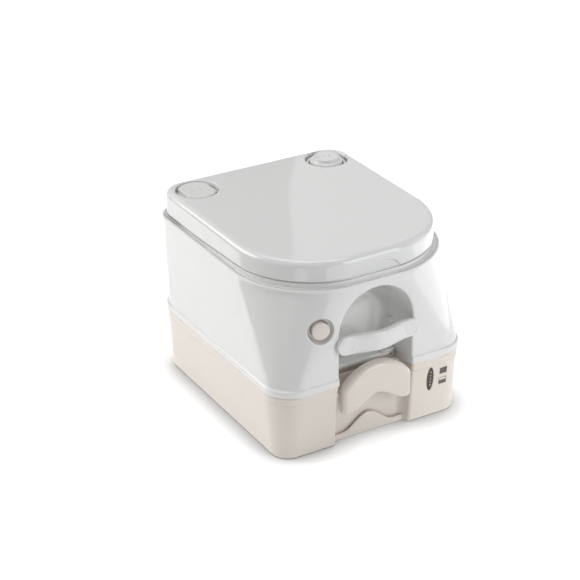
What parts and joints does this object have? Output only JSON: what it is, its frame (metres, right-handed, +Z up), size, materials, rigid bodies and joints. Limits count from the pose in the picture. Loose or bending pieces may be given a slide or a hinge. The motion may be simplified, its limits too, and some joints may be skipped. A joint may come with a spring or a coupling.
{
  "type": "portable toilet",
  "caption": "Two-piece portable toilet: flush tank with bowl, seat, lid, pump and filler caps on a holding tank with pull-out valve and swivelling pour spout.",
  "frame": {"origin": "middle of the footprint, on the face that stands on the floor", "axes": "+X to the right seen from the front, the front faces -Y, +Z up"},
  "size_m": [0.333, 0.3946, 0.308],
  "materials": {
    "white_gloss": "glossy injection moulding",
    "beige_gloss": "glossy blow moulding",
    "grey_plastic": "satin moulding",
    "smoke_window": "smoked clear moulding",
    "rubber": "moulded rubber",
    "steel": "stainless"
  },
  "bodies": {
    "holding_tank": {"holding_tank": "beige_gloss", "valve_base": "grey_plastic", "valve_cover": "grey_plastic", "valve_screws": "steel", "lip_seal": "rubber", "grip_lip": "beige_gloss", "level_window": "smoke_window", "spout_oring": "rubber"},
    "valve": {"valve_blade": "grey_plastic", "valve_handle": "beige_gloss", "handle_screws": "steel"},
    "spout": {"spout": "beige_gloss"},
    "spout_plug": {"cap_gasket": "rubber"},
    "spout_cap": {"spout_cap": "beige_gloss"},
    "flush_tank": {"water_tank": "white_gloss", "bowl_deck": "white_gloss", "bowl": "white_gloss", "filler_neck": "white_gloss", "carry_handle": "white_gloss", "pump_body": "white_gloss", "pump_collar": "white_gloss", "pump_bellows": "rubber", "pickup_tube": "grey_plastic", "flush_tube": "grey_plastic", "flush_nozzle": "white_gloss", "latch_spring": "steel", "hinge_pins": "steel"},
    "pump_button": {"pump_button": "white_gloss"},
    "fill_stopper": {"fill_gasket": "rubber"},
    "fill_cap": {"fill_cap": "white_gloss"},
    "latch": {"latch_button": "beige_gloss", "latch_hook": "grey_plastic"},
    "seat": {"seat": "white_gloss", "seat_buffers": "rubber"},
    "lid": {"lid": "white_gloss", "lid_buffers": "rubber"}
  },
  "joints": [
    {"name": "tank_lift", "type": "slide", "parent": "holding_tank", "child": "flush_tank", "axis": [0, 0, 1], "range_m": [0, 0.15]},
    {"name": "valve_pull", "type": "slide", "parent": "holding_tank", "child": "valve", "axis": [0, -1, 0], "range_m": [0, 0.1]},
    {"name": "spout_swing", "type": "hinge", "parent": "holding_tank", "child": "spout", "pos_m": [0.062, 0.163, 0.07], "axis": [0, 0, -1], "range_deg": [0, 100]},
    {"name": "spout_cap_pull", "type": "slide", "parent": "spout", "child": "spout_plug", "axis": [-1, 0, 0], "range_m": [0, 0.02]},
    {"name": "spout_cap_turn", "type": "hinge", "parent": "spout_plug", "child": "spout_cap", "pos_m": [-0.044, 0.163, 0.07], "axis": [-1, 0, 0], "range_deg": [0, 360]},
    {"name": "pump_press", "type": "slide", "parent": "flush_tank", "child": "pump_button", "axis": [0, 0, -1], "range_m": [0, 0.012], "stiffness_N_per_m": 500, "springref_m": -0.004, "deforming": ["pump_bellows"]},
    {"name": "fill_lift", "type": "slide", "parent": "flush_tank", "child": "fill_stopper", "axis": [0, 0, 1], "range_m": [0, 0.06]},
    {"name": "fill_turn", "type": "hinge", "parent": "fill_stopper", "child": "fill_cap", "pos_m": [-0.115, 0.14, 0.29], "axis": [0, 0, 1], "range_deg": [0, 90]},
    {"name": "latch_press", "type": "slide", "parent": "flush_tank", "child": "latch", "axis": [0.2366, 0.9716, 0], "range_m": [0, 0.006], "stiffness_N_per_m": 600, "springref_m": -0.003, "deforming": ["latch_spring"]},
    {"name": "seat_hinge", "type": "hinge", "parent": "flush_tank", "child": "seat", "pos_m": [0, 0.176, 0.272], "axis": [-1, 0, 0], "range_deg": [0, 95]},
    {"name": "lid_hinge", "type": "hinge", "parent": "seat", "child": "lid", "pos_m": [0, 0.176, 0.272], "axis": [1, 0, 0], "range_deg": [-100, 0]}
  ]
}
